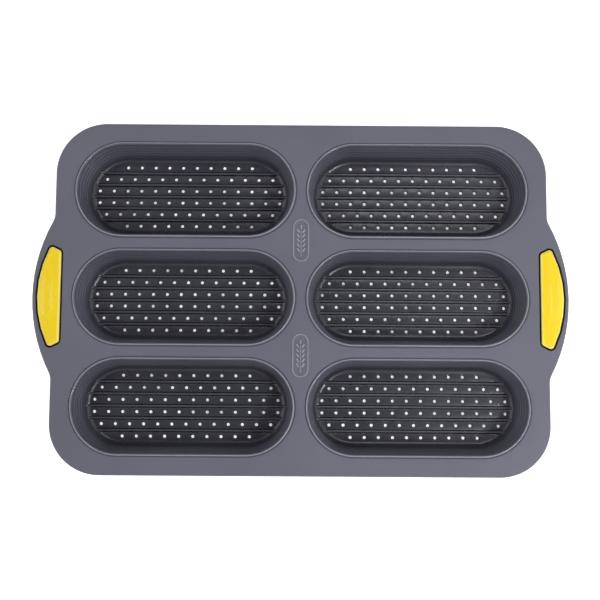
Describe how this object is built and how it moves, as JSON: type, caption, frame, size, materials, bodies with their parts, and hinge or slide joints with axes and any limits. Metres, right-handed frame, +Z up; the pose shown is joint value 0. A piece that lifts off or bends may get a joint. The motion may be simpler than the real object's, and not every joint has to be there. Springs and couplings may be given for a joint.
{
  "type": "baguette tray",
  "caption": "Flexible silicone baking tray with long oval perforated cups for small baguettes, a wire-stiffened rim and a coloured grip at each end.",
  "frame": {"origin": "centre of the tray, on the plane of the cup floors' underside, which it stands on", "axes": "+X from grip to grip, towards the right-hand grip; +Y to the rear of the tray; +Z up, out of the cups"},
  "size_m": [0.38, 0.25, 0.03],
  "materials": {
    "grey_silicone": "matte moulded silicone",
    "yellow_silicone": "satin moulded silicone",
    "rim_wire": "drawn wire"
  },
  "bodies": {
    "root": {"rim": "grey_silicone", "deck": "grey_silicone", "loaf_cup_rear_left": "grey_silicone", "loaf_cup_rear_right": "grey_silicone", "loaf_cup_middle_left": "grey_silicone", "loaf_cup_middle_right": "grey_silicone", "loaf_cup_front_left": "grey_silicone", "loaf_cup_front_right": "grey_silicone", "vented_floor_rear_left": "grey_silicone", "vented_floor_rear_right": "grey_silicone", "vented_floor_middle_left": "grey_silicone", "vented_floor_middle_right": "grey_silicone", "vented_floor_front_left": "grey_silicone", "vented_floor_front_right": "grey_silicone", "grip_left": "yellow_silicone", "grip_right": "yellow_silicone", "rim_wire": "rim_wire"}
  },
  "joints": []
}
